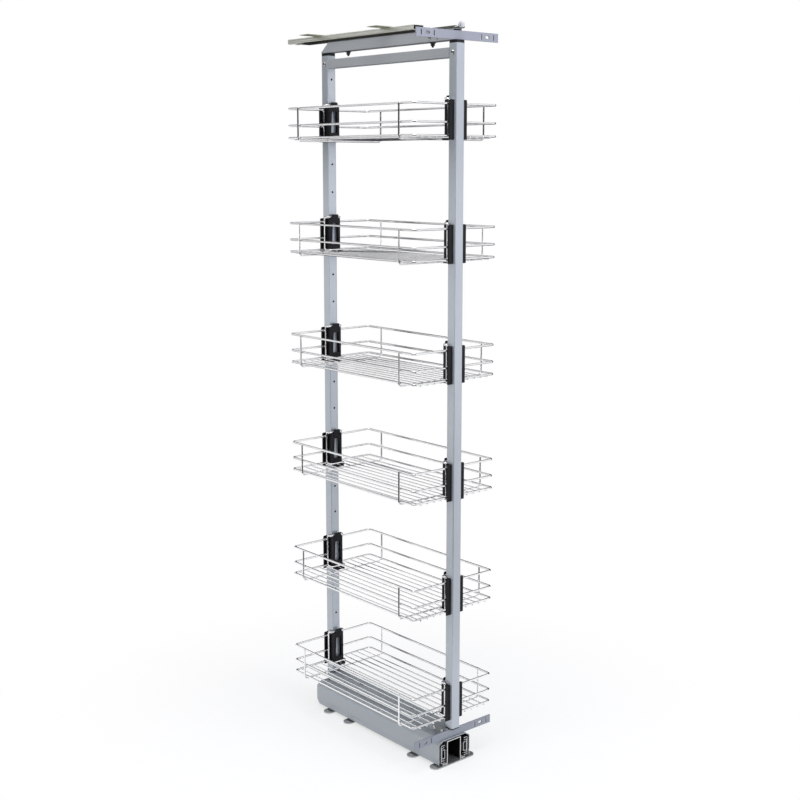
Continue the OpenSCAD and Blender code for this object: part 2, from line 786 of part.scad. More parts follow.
module frame_screws() {
    color("silver") mirrored_x() {
        for (p = foot_screws) screw([lower_beam_w / 2 + foot_plate_t, p[0], p[1]]);
        for (p = tongue_screws) screw([upper_beam_w / 2, p[0], p[1]]);
        for (s = [-1, 1]) screw([post_side / 2, s * post_y, crossbar_z]);
    }
}

// ---------- basket brackets ----------

// Plate outline in X and Z with a rounded corner at its high end
module corner_tab(x0, x1, z0, z1) {
    translate([x0, z0]) square([x1 - x0 - clip_r, z1 - z0]);
    translate([x0, z0]) square([x1 - x0, z1 - z0 - clip_r]);
    translate([x1 - clip_r, z1 - clip_r]) circle(r = clip_r);
}

// Bracket on the rear post: a hat section round the post's inner half, a seat and a
// hooked lug for the basket's hoop, a ledge for its lower bar and two pegs
module clip() {
    shelf_y = post_face - 0.2;
    ledge_y = clip_front - rim_d - 4;
    ledge_x = 3;
    window_z0 = 14.5;
    window_z1 = min(clip_seat_z - 13, second_peg_z - hole_d);
    difference() {
        union() {
            mirrored_x() {
                span([clip_in_x, clip_front, -clip_foot_z],
                     [clip_out_x, flange_y + clip_wall, clip_seat_z]);
                along_y(flange_y, flange_y + clip_wall)
                    corner_tab(clip_in_x, clip_half_w, -clip_foot_z, clip_seat_z);
                along_y(clip_front, clip_front + clip_wall)
                    corner_tab(-eps, lug_w / 2, clip_seat_z - eps, clip_seat_z + lug_h);
                span([ledge_x, ledge_y, -clip_foot_z], [clip_out_x, clip_front, ledge_z]);
            }
            span([-clip_out_x, clip_front, -clip_foot_z],
                 [clip_out_x, clip_front + clip_wall, clip_seat_z]);
            span([-clip_out_x, clip_front, clip_seat_z - clip_wall],
                 [clip_out_x, shelf_y, clip_seat_z]);
            span([-clip_out_x, ledge_y, -clip_foot_z], [clip_out_x, shelf_y, -clip_foot_z + foot_t]);
            for (z = [peg_z, second_peg_z])
                rod_y([0, clip_front + eps, z], clip_depth + tube_wall + 1, hole_d - 2 * fit);
        }
        // tapered window that shows the post
        translate([0, clip_front + clip_wall + eps, 0]) rotate([90, 0, 0])
            linear_extrude(clip_wall + 2 * eps) polygon([
                [-window_foot_w / 2, window_z0], [window_foot_w / 2, window_z0],
                [window_w / 2, window_z1], [-window_w / 2, window_z1]]);
    }
}

module rear_clip(k) {
    color([0.09, 0.09, 0.10]) translate([0, 0, tier_z(k)]) clip();
}

module front_clip(k) {
    color([0.09, 0.09, 0.10]) translate([0, 0, tier_z(k)]) rotate([0, 0, 180]) clip();
}

// ---------- baskets ----------

// Long side of a rim, on the +X side, as far as its corner bends
module rim_side(z) {
    half = half_l - rim_corner_r - touch;
    rod_y([half_w, -half, z], 2 * half, rim_d);
}

// End of a rim, in the +X +Y quadrant: from the hoop out to the corner and round it
module rim_end(z) {
    r = rim_corner_r;
    x0 = hoop_leg_x - rim_d / 2;
    rod_x([x0, half_l, z], half_w - r - x0, rim_d);
    translate([half_w - r, half_l - r, z]) bend(r, rim_d);
}

// Cross wire: down one side, under the floor wires and up the other side
module cross_wire(y) {
    r = cross_bend_r;
    z = cross_wire_z;
    mirrored_x() {
        rod_z([cross_wire_x, y, z + r], top_rim_z - z - r, cross_wire_d);
        translate([cross_wire_x - r, y, z + r]) rotate([-90, 0, 0]) bend(r, cross_wire_d);
    }
    rod_x([-cross_wire_x + r, y, z], 2 * (cross_wire_x - r), cross_wire_d);
}

// Hoop at the rear end that hangs the basket: a closed loop round the bracket
module hoop() {
    r = hoop_bend;
    top = hoop_top_z;
    mirrored_x() {
        rod_z([hoop_leg_x, hoop_leg_y, r], top - 2 * r, rim_d);
        translate([hoop_leg_x, hoop_leg_y - r, top - r]) rotate([90, 0, 90]) bend(r, rim_d);
        rod_y([hoop_leg_x, hoop_bar_y + r, top], hoop_leg_y - hoop_bar_y - 2 * r, rim_d);
        translate([hoop_leg_x - r, hoop_bar_y + r, top]) rotate([0, 0, -90]) bend(r, rim_d);
        translate([hoop_leg_x, hoop_leg_y - r, r]) rotate([0, 90, 0]) bend(r, rim_d);
        rod_y([hoop_leg_x, hoop_low_y + r, 0], hoop_leg_y - hoop_low_y - 2 * r, rim_d);
        translate([hoop_leg_x - r, hoop_low_y + r, 0]) rotate([0, 0, -90]) bend(r, rim_d);
    }
    rod_x([-hoop_leg_x + r, hoop_bar_y, top], 2 * (hoop_leg_x - r), rim_d);
    rod_x([-hoop_leg_x + r, hoop_low_y, 0], 2 * (hoop_leg_x - r), rim_d);
}

module basket(k) {
    color([0.86, 0.87, 0.89]) translate([0, 0, tier_z(k)]) {
        mirrored_x() for (z = rim_zs) rim_side(z);
        mirrored_y() cross_wire(half_l - cross_inset);
    }
}

// Both ends of a basket: the hanging hoop and the rim ends that are welded to it
module basket_hoops(k) {
    color([0.86, 0.87, 0.89]) translate([0, 0, tier_z(k)]) mirrored_y() {
        hoop();
        mirrored_x() for (z = rim_zs) rim_end(z);
    }
}

module basket_floor(k) {
    tip = 2.5;
    side_count = (floor_wires - 1) / 2;
    color([0.86, 0.87, 0.89]) translate([0, 0, tier_z(k) + floor_wire_z])
        for (i = [-side_count : side_count]) {
            reach = i == 0 ? hoop_low_y + 1.5 : half_l + tip;
            rod_y([i * floor_pitch, -reach, 0], 2 * reach, floor_wire_d);
        }
}

// ---------- the assembly ----------

floor_plate();
base_channel();
slide_spacers();
floor_slide_fixed();
base_rivets();
top_rail();
top_rail_tabs();
floor_slide_mid();
floor_slide_balls();
top_slide_mid();
runner_cover();
cover_liners();
floor_slide_outer();
lower_beam();
front_post();
rear_post();
post_caps();
crossbar();
upper_beam();
beam_bolts();
top_slide_seat();
top_roller();
upper_door_bracket();
lower_door_bracket();
foot_plates();
frame_screws();
front_clip(1);  // front_clip_1
front_clip(2);  // front_clip_2
front_clip(3);  // front_clip_3
front_clip(4);  // front_clip_4
front_clip(5);  // front_clip_5
front_clip(6);  // front_clip_6
rear_clip(1);  // rear_clip_1
rear_clip(2);  // rear_clip_2
rear_clip(3);  // rear_clip_3
rear_clip(4);  // rear_clip_4
rear_clip(5);  // rear_clip_5
rear_clip(6);  // rear_clip_6
basket(1);  // basket_1
basket(2);  // basket_2
basket(3);  // basket_3
basket(4);  // basket_4
basket(5);  // basket_5
basket(6);  // basket_6
basket_floor(1);  // basket_floor_1
basket_floor(2);  // basket_floor_2
basket_floor(3);  // basket_floor_3
basket_floor(4);  // basket_floor_4
basket_floor(5);  // basket_floor_5
basket_floor(6);  // basket_floor_6
basket_hoops(1);  // basket_hoops_1
basket_hoops(2);  // basket_hoops_2
basket_hoops(3);  // basket_hoops_3
basket_hoops(4);  // basket_hoops_4
basket_hoops(5);  // basket_hoops_5
basket_hoops(6);  // basket_hoops_6
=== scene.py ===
import math

import bmesh
import bpy
from mathutils import Matrix, Vector


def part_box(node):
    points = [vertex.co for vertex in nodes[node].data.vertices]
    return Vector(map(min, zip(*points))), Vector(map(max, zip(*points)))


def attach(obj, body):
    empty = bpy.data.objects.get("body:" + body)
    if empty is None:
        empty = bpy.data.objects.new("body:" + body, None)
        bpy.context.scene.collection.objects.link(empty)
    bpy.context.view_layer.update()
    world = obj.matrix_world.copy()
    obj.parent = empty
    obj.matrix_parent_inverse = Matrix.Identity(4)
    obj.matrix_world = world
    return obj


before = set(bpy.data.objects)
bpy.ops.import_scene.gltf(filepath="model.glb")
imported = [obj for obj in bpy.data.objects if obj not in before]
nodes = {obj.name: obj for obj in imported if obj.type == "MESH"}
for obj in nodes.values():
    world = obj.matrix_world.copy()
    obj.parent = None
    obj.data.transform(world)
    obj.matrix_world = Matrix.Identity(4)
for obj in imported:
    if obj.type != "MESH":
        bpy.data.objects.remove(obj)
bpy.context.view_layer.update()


# ---- Floor plate, base channel and floor slides --------------------------------------
# Bright zinc-plated steel: a laser-cut plate with rounded screw ears, and on it a folded
# channel whose feet are riveted down. The slides' rolled members are plated the same way.

def shader(name, base_color, metallic, roughness):
    """A new material with one Principled shader, whose flat values are set on its sockets."""
    material = bpy.data.materials.new(name)
    material.use_nodes = True
    principled = material.node_tree.nodes["Principled BSDF"]
    principled.inputs["Base Color"].default_value = (*base_color, 1)
    principled.inputs["Metallic"].default_value = metallic
    principled.inputs["Roughness"].default_value = roughness
    return material, principled


def node(material, kind, **settings):
    """Adds a shader node; a setting is an attribute of the node, or else a socket's name."""
    made = material.node_tree.nodes.new(kind)
    for key, value in settings.items():
        if hasattr(made, key):
            setattr(made, key, value)
        else:
            made.inputs[key.replace("_", " ")].default_value = value
    return made


def join(material, *pairs):
    """Links each pair of an output and an input."""
    for source, target in pairs:
        material.node_tree.links.new(source, target)


def object_pattern(material, scale=(1, 1, 1)):
    """The piece's own coordinates in metres, stretched by scale."""
    coordinates = node(material, "ShaderNodeTexCoord")
    mapping = node(material, "ShaderNodeMapping", Scale=scale)
    join(material, (coordinates.outputs["Object"], mapping.inputs["Vector"]))
    return mapping.outputs["Vector"]


def spread(material, value, low, high, start=0, stop=1, blend="LINEAR"):
    """Maps a value that runs from start to stop onto the range from low to high."""
    ranged = node(material, "ShaderNodeMapRange", interpolation_type=blend,
                  From_Min=start, From_Max=stop, To_Min=low, To_Max=high)
    join(material, (value, ranged.inputs["Value"]))
    return ranged.outputs["Result"]


def two_tone(material, value, dark, light, start=0.3, stop=0.7):
    """Blends two colours by a pattern's value."""
    ramp = node(material, "ShaderNodeValToRGB")
    ramp.color_ramp.elements[0].position = start
    ramp.color_ramp.elements[0].color = (*dark, 1)
    ramp.color_ramp.elements[1].position = stop
    ramp.color_ramp.elements[1].color = (*light, 1)
    join(material, (value, ramp.inputs["Fac"]))
    return ramp.outputs["Color"]


def soft_edges(material, principled, radius, relief, strength):
    """Rounds sharp folds in the shading, with a fine relief on top."""
    relief_depth = 0.0002
    rounded = node(material, "ShaderNodeBevel", samples=4, Radius=radius)
    bump = node(material, "ShaderNodeBump", Strength=strength, Distance=relief_depth)
    join(material, (relief, bump.inputs["Height"]),
         (rounded.outputs["Normal"], bump.inputs["Normal"]),
         (bump.outputs["Normal"], principled.inputs["Normal"]))


def plated_steel(name, dark, light, roughness):
    """Rolled and plated sheet: fine streaks along the rolling direction and pale spangle."""
    material, principled = shader(name, light, metallic=0.85, roughness=roughness[0])
    along_the_rolling = (900, 12, 900)
    spangle_share = 0.25
    streaks = node(material, "ShaderNodeTexNoise", Scale=1, Detail=4, Roughness=0.6)
    spangle = node(material, "ShaderNodeTexVoronoi", Scale=140)
    mixed = node(material, "ShaderNodeMix", data_type="FLOAT", Factor=spangle_share)
    join(material,
         (object_pattern(material, along_the_rolling), streaks.inputs["Vector"]),
         (object_pattern(material), spangle.inputs["Vector"]),
         (streaks.outputs["Fac"], mixed.inputs["A"]),
         (spangle.outputs["Distance"], mixed.inputs["B"]))
    join(material,
         (two_tone(material, mixed.outputs["Result"], dark, light),
          principled.inputs["Base Color"]),
         (spread(material, mixed.outputs["Result"], *roughness),
          principled.inputs["Roughness"]))
    soft_edges(material, principled, radius=0.0005, relief=streaks.outputs["Fac"],
               strength=0.08)
    return material


def finish_nodes(material, *names):
    """Gives CAD nodes a finish in place of the plain one that they were packed with."""
    for name in names:
        nodes[name].data.materials.clear()
        nodes[name].data.materials.append(material)


def math_node(material, operation, first, second=0):
    """Joins two values; each is a socket or a plain number."""
    made = node(material, "ShaderNodeMath", operation=operation)
    for slot, value in zip(made.inputs, (first, second)):
        if isinstance(value, (int, float)):
            slot.default_value = value
        else:
            join(material, (value, slot))
    return made.outputs[0]


def distances(material):
    """How far a point lies from the middle plane in X and in Y, and its height, in metres."""
    axes = node(material, "ShaderNodeSeparateXYZ")
    join(material, (object_pattern(material), axes.inputs[0]))
    return (math_node(material, "ABSOLUTE", axes.outputs["X"]),
            math_node(material, "ABSOLUTE", axes.outputs["Y"]), axes.outputs["Z"])


def where(material, *tests):
    """1 where every test holds, such as (height, "LESS_THAN", 0.06), and 0 elsewhere."""
    held = 1
    for value, comparison, limit in tests:
        passed = math_node(material, comparison, value, limit)
        held = math_node(material, "MULTIPLY", passed, held)
    return held


def hollow_shade(material, reach, closed, open_from):
    """1 in grooves and gaps narrower than reach, where shade is painted, and 0 outside."""
    hollow = node(material, "ShaderNodeAmbientOcclusion", samples=8, Distance=reach)
    return spread(material, hollow.outputs["AO"], 1, 0, start=closed, stop=open_from)


def paint_over(material, pattern, color):
    """Lays a colour over the finish wherever a pattern is 1."""
    principled = material.node_tree.nodes["Principled BSDF"]
    layer = node(material, "ShaderNodeMix", data_type="RGBA")
    below = principled.inputs["Base Color"].links[0].from_socket
    # A Mix node has sockets for every kind of data; 6, 7 and 2 are those for colours.
    layer.inputs[7].default_value = (*color, 1)
    join(material, (pattern, layer.inputs["Factor"]), (below, layer.inputs[6]),
         (layer.outputs[2], principled.inputs["Base Color"]))


section_dark, section_light = (0.66, 0.67, 0.68), (0.84, 0.84, 0.84)
grease_and_shade = (0.035, 0.034, 0.033)
# The painted shade and grease don't lie on the sheared ends of channel and slides, only behind
# them.
end_skin = 0.0001
channel_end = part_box("base_channel")[1][1] - end_skin
slide_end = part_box("floor_slide_outer")[1][1] - end_skin
# The channel is 45 mm wide, its top lies 60 mm high, and the limits lie in its 2 mm sheet.
channel_inner_half, channel_roof = 0.0212, 0.0592

zinc_plate = plated_steel("zinc_plate", (0.40, 0.41, 0.42), (0.58, 0.59, 0.59),
                          roughness=(0.30, 0.48))
channel_steel = plated_steel("channel_steel", section_dark, section_light,
                             roughness=(0.22, 0.38))
channel_side, channel_along, channel_up = distances(channel_steel)
# Inside the channel, under its roof and behind its ends, is painted near black as shade.
paint_over(channel_steel,
           where(channel_steel, (channel_side, "LESS_THAN", channel_inner_half),
                 (channel_up, "LESS_THAN", channel_roof),
                 (channel_along, "LESS_THAN", channel_end)), grease_and_shade)
slide_steel = plated_steel("slide_steel", section_dark, section_light,
                           roughness=(0.22, 0.38))
# The slides' narrow grooves are painted near black: shade, with grease in the tracks.
groove_shade_and_grease = hollow_shade(slide_steel, reach=0.014, closed=0.5, open_from=0.8)
behind_the_end = where(slide_steel, (distances(slide_steel)[1], "LESS_THAN", slide_end))
paint_over(slide_steel,
           math_node(slide_steel, "MULTIPLY", groove_shade_and_grease, behind_the_end), grease_and_shade)
finish_nodes(zinc_plate, "floor_plate", "base_rivets")
finish_nodes(channel_steel, "base_channel")
finish_nodes(slide_steel, "floor_slide_fixed", "floor_slide_mid", "floor_slide_outer")


# ---- Slide spacers, ball strips and the dark middle member of the top slide ----------
# Blackened steel strips pack the slides out from the channel. Hardened balls roll in greased
# tracks, and the top slide's middle member is black, partly as painted shade under the rail.

def greased_steel(name, base_color, roughness):
    """Dark oiled steel, with smears of grease that shine more than the metal."""
    material, principled = shader(name, base_color, metallic=0.6, roughness=roughness)
    drawn_along_y = (60, 9, 60)
    smear_shine = 0.12
    smear_color = tuple(2.1 * c for c in base_color)
    smears = node(material, "ShaderNodeTexNoise", Scale=1, Detail=5, Roughness=0.55)
    join(material, (object_pattern(material, drawn_along_y), smears.inputs["Vector"]))
    join(material,
         (two_tone(material, smears.outputs["Fac"], base_color, smear_color,
                   start=0.35, stop=0.75),
          principled.inputs["Base Color"]),
         (spread(material, smears.outputs["Fac"],
                 roughness + smear_shine, roughness - smear_shine),
          principled.inputs["Roughness"]))
    soft_edges(material, principled, radius=0.0005, relief=smears.outputs["Fac"],
               strength=0.1)
    return material


black_and_shade_steel = greased_steel("black_steel_with_painted_shade", (0.018, 0.017, 0.017), roughness=0.42)
# The middle member is black partly as painted shade under the rail; the spacers are blackened
# steel.
finish_nodes(black_and_shade_steel, "slide_spacers", "top_slide_mid")

polished_ball, ball_shader = shader(
    "polished_ball", (0.82, 0.82, 0.84), metallic=1.0, roughness=0.08)
ball_haze = node(polished_ball, "ShaderNodeTexNoise", Scale=900, Detail=2)
join(polished_ball,
     (object_pattern(polished_ball), ball_haze.inputs["Vector"]),
     (spread(polished_ball, ball_haze.outputs["Fac"], 0.05, 0.16),
      ball_shader.inputs["Roughness"]))
finish_nodes(polished_ball, "floor_slide_balls")


# ---- Runner cover, beams, posts, crossbar, foot plates and door brackets -------------
# Folded sheet and square tube in a satin silver-grey powder coat with fine metal flake.
# The sheet is bent cold, so its edges are small radii that catch a line of light.

def silver_coat(name, dark, light, roughness=0.46, metallic=0.32):
    """Silver-grey coating: metal flake, the faint peel of sprayed powder, soft bends."""
    material, principled = shader(name, light, metallic, roughness)
    principled.inputs["Coat Weight"].default_value = 0.18
    principled.inputs["Coat Roughness"].default_value = 0.22
    flake_share = 0.35
    flake = node(material, "ShaderNodeTexVoronoi", Scale=2600)
    speck = node(material, "ShaderNodeSeparateColor")
    clouds = node(material, "ShaderNodeTexNoise", Scale=7, Detail=4, Roughness=0.55)
    peel = node(material, "ShaderNodeTexNoise", Scale=520, Detail=2)
    mottle = node(material, "ShaderNodeMix", data_type="FLOAT", Factor=flake_share)
    place = object_pattern(material)
    join(material, (place, flake.inputs["Vector"]), (place, clouds.inputs["Vector"]),
         (place, peel.inputs["Vector"]), (flake.outputs["Color"], speck.inputs["Color"]),
         (clouds.outputs["Fac"], mottle.inputs["A"]),
         (speck.outputs["Red"], mottle.inputs["B"]))
    join(material,
         (two_tone(material, mottle.outputs["Result"], dark, light, start=0.2, stop=0.8),
          principled.inputs["Base Color"]),
         (spread(material, mottle.outputs["Result"], roughness - 0.05, roughness + 0.07),
          principled.inputs["Roughness"]))
    soft_edges(material, principled, radius=0.0011, relief=peel.outputs["Fac"],
               strength=0.12)
    return material


def painted_shade_inside(material, inner_half, reach, low, high):
    """Paints the inside of a folded sheet nearly black, as the shade seen through its slots."""
    side, along, up = distances(material)
    paint_over(material,
               where(material, (side, "LESS_THAN", inner_half), (along, "LESS_THAN", reach),
                     (up, "GREATER_THAN", low), (up, "LESS_THAN", high)),
               (0.012, 0.012, 0.013))


def dark_tube(material, middle, inner_half, face_half, hole_half, cap_from):
    """Paints an upright tube black inside and in its holes as shade, and as plastic at its top.
    """
    side, along, up = distances(material)
    off = math_node(material, "ABSOLUTE", math_node(material, "SUBTRACT", along, middle))
    inside = where(material, (side, "LESS_THAN", inner_half), (off, "LESS_THAN", inner_half))
    post_hole_shade = where(material, (side, "LESS_THAN", hole_half), (off, "LESS_THAN", face_half))
    cap = where(material, (up, "GREATER_THAN", cap_from))
    black = math_node(material, "MAXIMUM", cap,
                      math_node(material, "MAXIMUM", inside, post_hole_shade))
    paint_over(material, black, (0.008, 0.008, 0.009))


def bracket_hole_shade(material, bracket):
    """Paints the walls of a door bracket's holes near black as shade, between its faces."""
    sheet, face_skin = 0.0025, 0.00002
    holes_from, holes_to, hole_half_height = 0.0695, 0.1125, 0.0062
    low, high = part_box(bracket)
    front = -low[1]
    side, along, up = distances(material)
    off = math_node(material, "ABSOLUTE",
                    math_node(material, "SUBTRACT", up, (low[2] + high[2]) / 2))
    paint_over(material,
               where(material, (along, "LESS_THAN", front - face_skin),
                     (along, "GREATER_THAN", front - sheet + face_skin),
                     (side, "GREATER_THAN", holes_from), (side, "LESS_THAN", holes_to),
                     (off, "LESS_THAN", hole_half_height)),
               (0.03, 0.03, 0.034))


# Posts of 25 mm tube with a 1.5 mm wall and holes 5.2 mm wide. The inner limit lies in the
# wall. The inside and the holes are painted black as shade, and the top of each post is black,
# as the rim of its cap.
post_coat = silver_coat("silver_post_coat", (0.41, 0.44, 0.485), (0.47, 0.50, 0.545),
                        roughness=0.30, metallic=0.50)
post_low, post_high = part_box("rear_post")
cap_band = 0.0042
dark_tube(post_coat, middle=(post_low[1] + post_high[1]) / 2, inner_half=0.0115,
          face_half=0.01245, hole_half=0.0028, cap_from=post_high[2] - cap_band)
finish_nodes(post_coat, "front_post", "rear_post")

# The slots in the lower beam look into the space between the beam and the cover, whose shade is
# painted nearly black.
cover_coat = silver_coat("silver_cover_coat", (0.34, 0.37, 0.40), (0.40, 0.43, 0.46))
painted_shade_inside(cover_coat, inner_half=0.0172, reach=0.2375, low=0.0600, high=0.0700)
finish_nodes(cover_coat, "runner_cover")
lower_beam_coat = silver_coat(
    "silver_lower_beam_coat", (0.34, 0.37, 0.40), (0.40, 0.43, 0.46))
painted_shade_inside(lower_beam_coat, inner_half=0.0172, reach=0.2390, low=0.0600, high=0.0857)
finish_nodes(lower_beam_coat, "lower_beam")

beam_coat = silver_coat("silver_beam_coat", (0.31, 0.325, 0.345), (0.37, 0.385, 0.405))
finish_nodes(beam_coat, "upper_beam", "crossbar")
foot_coat = silver_coat("silver_foot_coat", (0.19, 0.20, 0.21), (0.23, 0.24, 0.25))
finish_nodes(foot_coat, "foot_plates")

# Both door brackets have one coat, painted in two tones: the lower one darker as the shade low
# on the front, the upper one lighter as the light up there.
for level, dark, light in (
        ("upper", (0.28, 0.29, 0.35), (0.33, 0.34, 0.40)),
        ("lower", (0.23, 0.245, 0.295), (0.28, 0.295, 0.345))):
    bracket_coat = silver_coat(f"silver_{level}_bracket_coat", dark, light, roughness=0.42)
    bracket_hole_shade(bracket_coat, f"{level}_door_bracket")
    finish_nodes(bracket_coat, f"{level}_door_bracket")


# ---- Cover liners, post caps and basket brackets -------------------------------------
# Moulded black plastic. The liners line the inside of the cover, the caps close the
# posts, and a bracket on each post end of a basket hooks into the post's hole row.

def moulded_black(name, base_color, roughness):
    """Black moulding: a fine spark-eroded grain, and paler rubbed patches."""
    material, principled = shader(name, base_color, metallic=0, roughness=roughness)
    principled.inputs["Specular IOR Level"].default_value = 0.2
    rub_shine = 0.08
    rub_color = tuple(1.9 * c for c in base_color)
    grain = node(material, "ShaderNodeTexNoise", Scale=1500, Detail=2)
    rub = node(material, "ShaderNodeTexNoise", Scale=38, Detail=4, Roughness=0.6)
    place = object_pattern(material)
    join(material, (place, grain.inputs["Vector"]), (place, rub.inputs["Vector"]))
    join(material,
         (two_tone(material, rub.outputs["Fac"], base_color, rub_color,
                   start=0.4, stop=0.8),
          principled.inputs["Base Color"]),
         (spread(material, rub.outputs["Fac"], roughness + rub_shine, roughness - rub_shine),
          principled.inputs["Roughness"]))
    soft_edges(material, principled, radius=0.0009, relief=grain.outputs["Fac"],
               strength=0.25)
    return material


tiers = range(1, 7)
bracket_black = moulded_black("black_bracket_plastic", (0.0045, 0.0045, 0.006),
                              roughness=0.42)
liner_black = moulded_black("black_liner_plastic", (0.002, 0.002, 0.0025), roughness=0.62)
finish_nodes(bracket_black, "post_caps")
finish_nodes(liner_black, "cover_liners")
for k in tiers:
    finish_nodes(bracket_black, f"front_clip_{k}", f"rear_clip_{k}")


# ---- Top rail, its screw tabs, the seat of the top slide and its roller --------------
# The rolled rail under the cabinet's top is passivated zinc of a yellowish tone, and so is the
# section bolted on the upper beam, which runs in it. A white nylon roller ends that section at
# the front.

cream_zinc = plated_steel("cream_zinc", (0.55, 0.56, 0.50), (0.78, 0.79, 0.72),
                          roughness=(0.26, 0.40))
# The rolled side of the rail bulges a little, and a painted highlight makes its middle brighter
# than its edges.
rail_low, rail_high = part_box("top_rail")
highlight_drop, highlight_half, highlight_share = 0.0008, 0.0045, 0.9
highlight_middle = (rail_low[2] + rail_high[2]) / 2 - highlight_drop
rail_off = math_node(cream_zinc, "ABSOLUTE", math_node(
    cream_zinc, "SUBTRACT", distances(cream_zinc)[2], highlight_middle))
paint_over(cream_zinc,
           spread(cream_zinc, rail_off, highlight_share, 0, stop=highlight_half, blend="SMOOTHSTEP"),
           (0.94, 0.94, 0.86))
finish_nodes(cream_zinc, "top_rail")

tab_zinc = plated_steel("tab_zinc", (0.34, 0.36, 0.27), (0.50, 0.52, 0.40),
                        roughness=(0.36, 0.52))
finish_nodes(tab_zinc, "top_rail_tabs")

seat_zinc = plated_steel("seat_zinc", (0.62, 0.63, 0.55), (0.86, 0.86, 0.78),
                         roughness=(0.26, 0.40))
seat_place = node(seat_zinc, "ShaderNodeSeparateXYZ")
join(seat_zinc, (object_pattern(seat_zinc), seat_place.inputs[0]))
# The foot of the section is painted darker as shade, and near black as the shade under the
# rail, from just before the rail.
foot_height, rail_shade_from = 0.0048, -0.130
beam_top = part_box("upper_beam")[1][2]
seat_foot = (seat_place.outputs["Z"], "LESS_THAN", beam_top + foot_height)
paint_over(seat_zinc, where(seat_zinc, seat_foot), (0.15, 0.155, 0.14))
paint_over(seat_zinc,
           where(seat_zinc, seat_foot, (seat_place.outputs["Y"], "GREATER_THAN", rail_shade_from)),
           (0.03, 0.028, 0.026))
finish_nodes(seat_zinc, "top_slide_seat")

# The white nylon is painted a darker blue-grey, as the shade on the roller.
roller_nylon, roller_shader = shader(
    "white_roller_nylon", (0.62, 0.63, 0.67), metallic=0, roughness=0.32)
roller_shader.inputs["Subsurface Weight"].default_value = 0.15
roller_shader.inputs["Subsurface Radius"].default_value = (0.002, 0.002, 0.002)
turning_marks = node(roller_nylon, "ShaderNodeTexNoise", Scale=1, Detail=3)
join(roller_nylon,
     (object_pattern(roller_nylon, (300, 300, 4000)), turning_marks.inputs["Vector"]),
     (two_tone(roller_nylon, turning_marks.outputs["Fac"],
               (0.50, 0.51, 0.56), (0.66, 0.67, 0.71)), roller_shader.inputs["Base Color"]))
soft_edges(roller_nylon, roller_shader, radius=0.0008, relief=turning_marks.outputs["Fac"],
           strength=0.1)
finish_nodes(roller_nylon, "top_roller")


# ---- Bolts and screws ----------------------------------------------------------------
# Blackened flange bolts clamp the top slide to the upper beam. Bright plated pan-head
# screws with a cross recess hold the tongues of the door brackets and the crossbar.

black_oxide = greased_steel("black_oxide_bolt", (0.014, 0.014, 0.015), roughness=0.36)
finish_nodes(black_oxide, "beam_bolts")

screw_plate, screw_shader = shader(
    "bright_screw_plating", (0.78, 0.77, 0.74), metallic=1.0, roughness=0.24)
screw_tint = node(screw_plate, "ShaderNodeTexNoise", Scale=420, Detail=3)
join(screw_plate,
     (object_pattern(screw_plate), screw_tint.inputs["Vector"]),
     (two_tone(screw_plate, screw_tint.outputs["Fac"],
               (0.58, 0.56, 0.52), (0.82, 0.81, 0.78)), screw_shader.inputs["Base Color"]),
     (spread(screw_plate, screw_tint.outputs["Fac"], 0.18, 0.34),
      screw_shader.inputs["Roughness"]))
# The cross recess and the edge round the head are painted dark, as shade.
paint_over(screw_plate, hollow_shade(screw_plate, reach=0.0022, closed=0.35, open_from=0.85),
           (0.035, 0.022, 0.018))
soft_edges(screw_plate, screw_shader, radius=0.0004, relief=screw_tint.outputs["Fac"],
           strength=0.1)
finish_nodes(screw_plate, "frame_screws")


# ---- Wire baskets --------------------------------------------------------------------
# Drawn steel wire, spot welded and then bright nickel and chrome plated as one piece.
# The plating is a mirror, with a slight ripple from the drawn wire under it.

wire_chrome, wire_shader = shader(
    "bright_wire_chrome", (0.86, 0.865, 0.88), metallic=1.0, roughness=0.07)
drawing_marks = node(wire_chrome, "ShaderNodeTexNoise", Scale=260, Detail=3)
join(wire_chrome,
     (object_pattern(wire_chrome), drawing_marks.inputs["Vector"]),
     (two_tone(wire_chrome, drawing_marks.outputs["Fac"],
               (0.84, 0.845, 0.86), (0.95, 0.955, 0.97)), wire_shader.inputs["Base Color"]),
     (spread(wire_chrome, drawing_marks.outputs["Fac"], 0.04, 0.15),
      wire_shader.inputs["Roughness"]))
for k in tiers:
    finish_nodes(wire_chrome, f"basket_{k}", f"basket_floor_{k}", f"basket_hoops_{k}")


# ---- Spot welds of the baskets -------------------------------------------------------
# Where two wires cross they are fused under pressure, and a little steel is squeezed out
# round the joint. The plating runs over these beads as over the wires.

# Places where the wires touch, from the basket's middle and from its lowest rim upwards.
wire_pitch = 0.253 / 12
end_rim, hoop_bar, cross_wire = 0.237, 0.2115, 0.190
under_rim, under_floor_wire = -0.0025, -0.0056
rim_side, rim_inside, hoop_leg = 0.129, 0.2345, 0.020
lowest_rim, upper_rims = 0, (0.030, 0.071)
rim_above_foot = 0.0096
bead_half, bead_flat, saddle = 0.0024, 0.0013, 0.35

bead_spots = []
for end in (-1, 1):
    for i in range(-5, 6):
        # The middle floor wire ends at the hoop's lower bar, the others at the end rim.
        wire_end = end_rim if i else hoop_bar
        bead_spots.append(((i * wire_pitch, end * wire_end, under_rim), "Z"))
        bead_spots.append(((i * wire_pitch, end * cross_wire, under_floor_wire), "Z"))
    for side in (-1, 1):
        for up in (lowest_rim, *upper_rims):
            bead_spots.append(((side * rim_side, end * cross_wire, up), "X"))
        for up in upper_rims:
            bead_spots.append(((side * hoop_leg, end * rim_inside, up), "Y"))

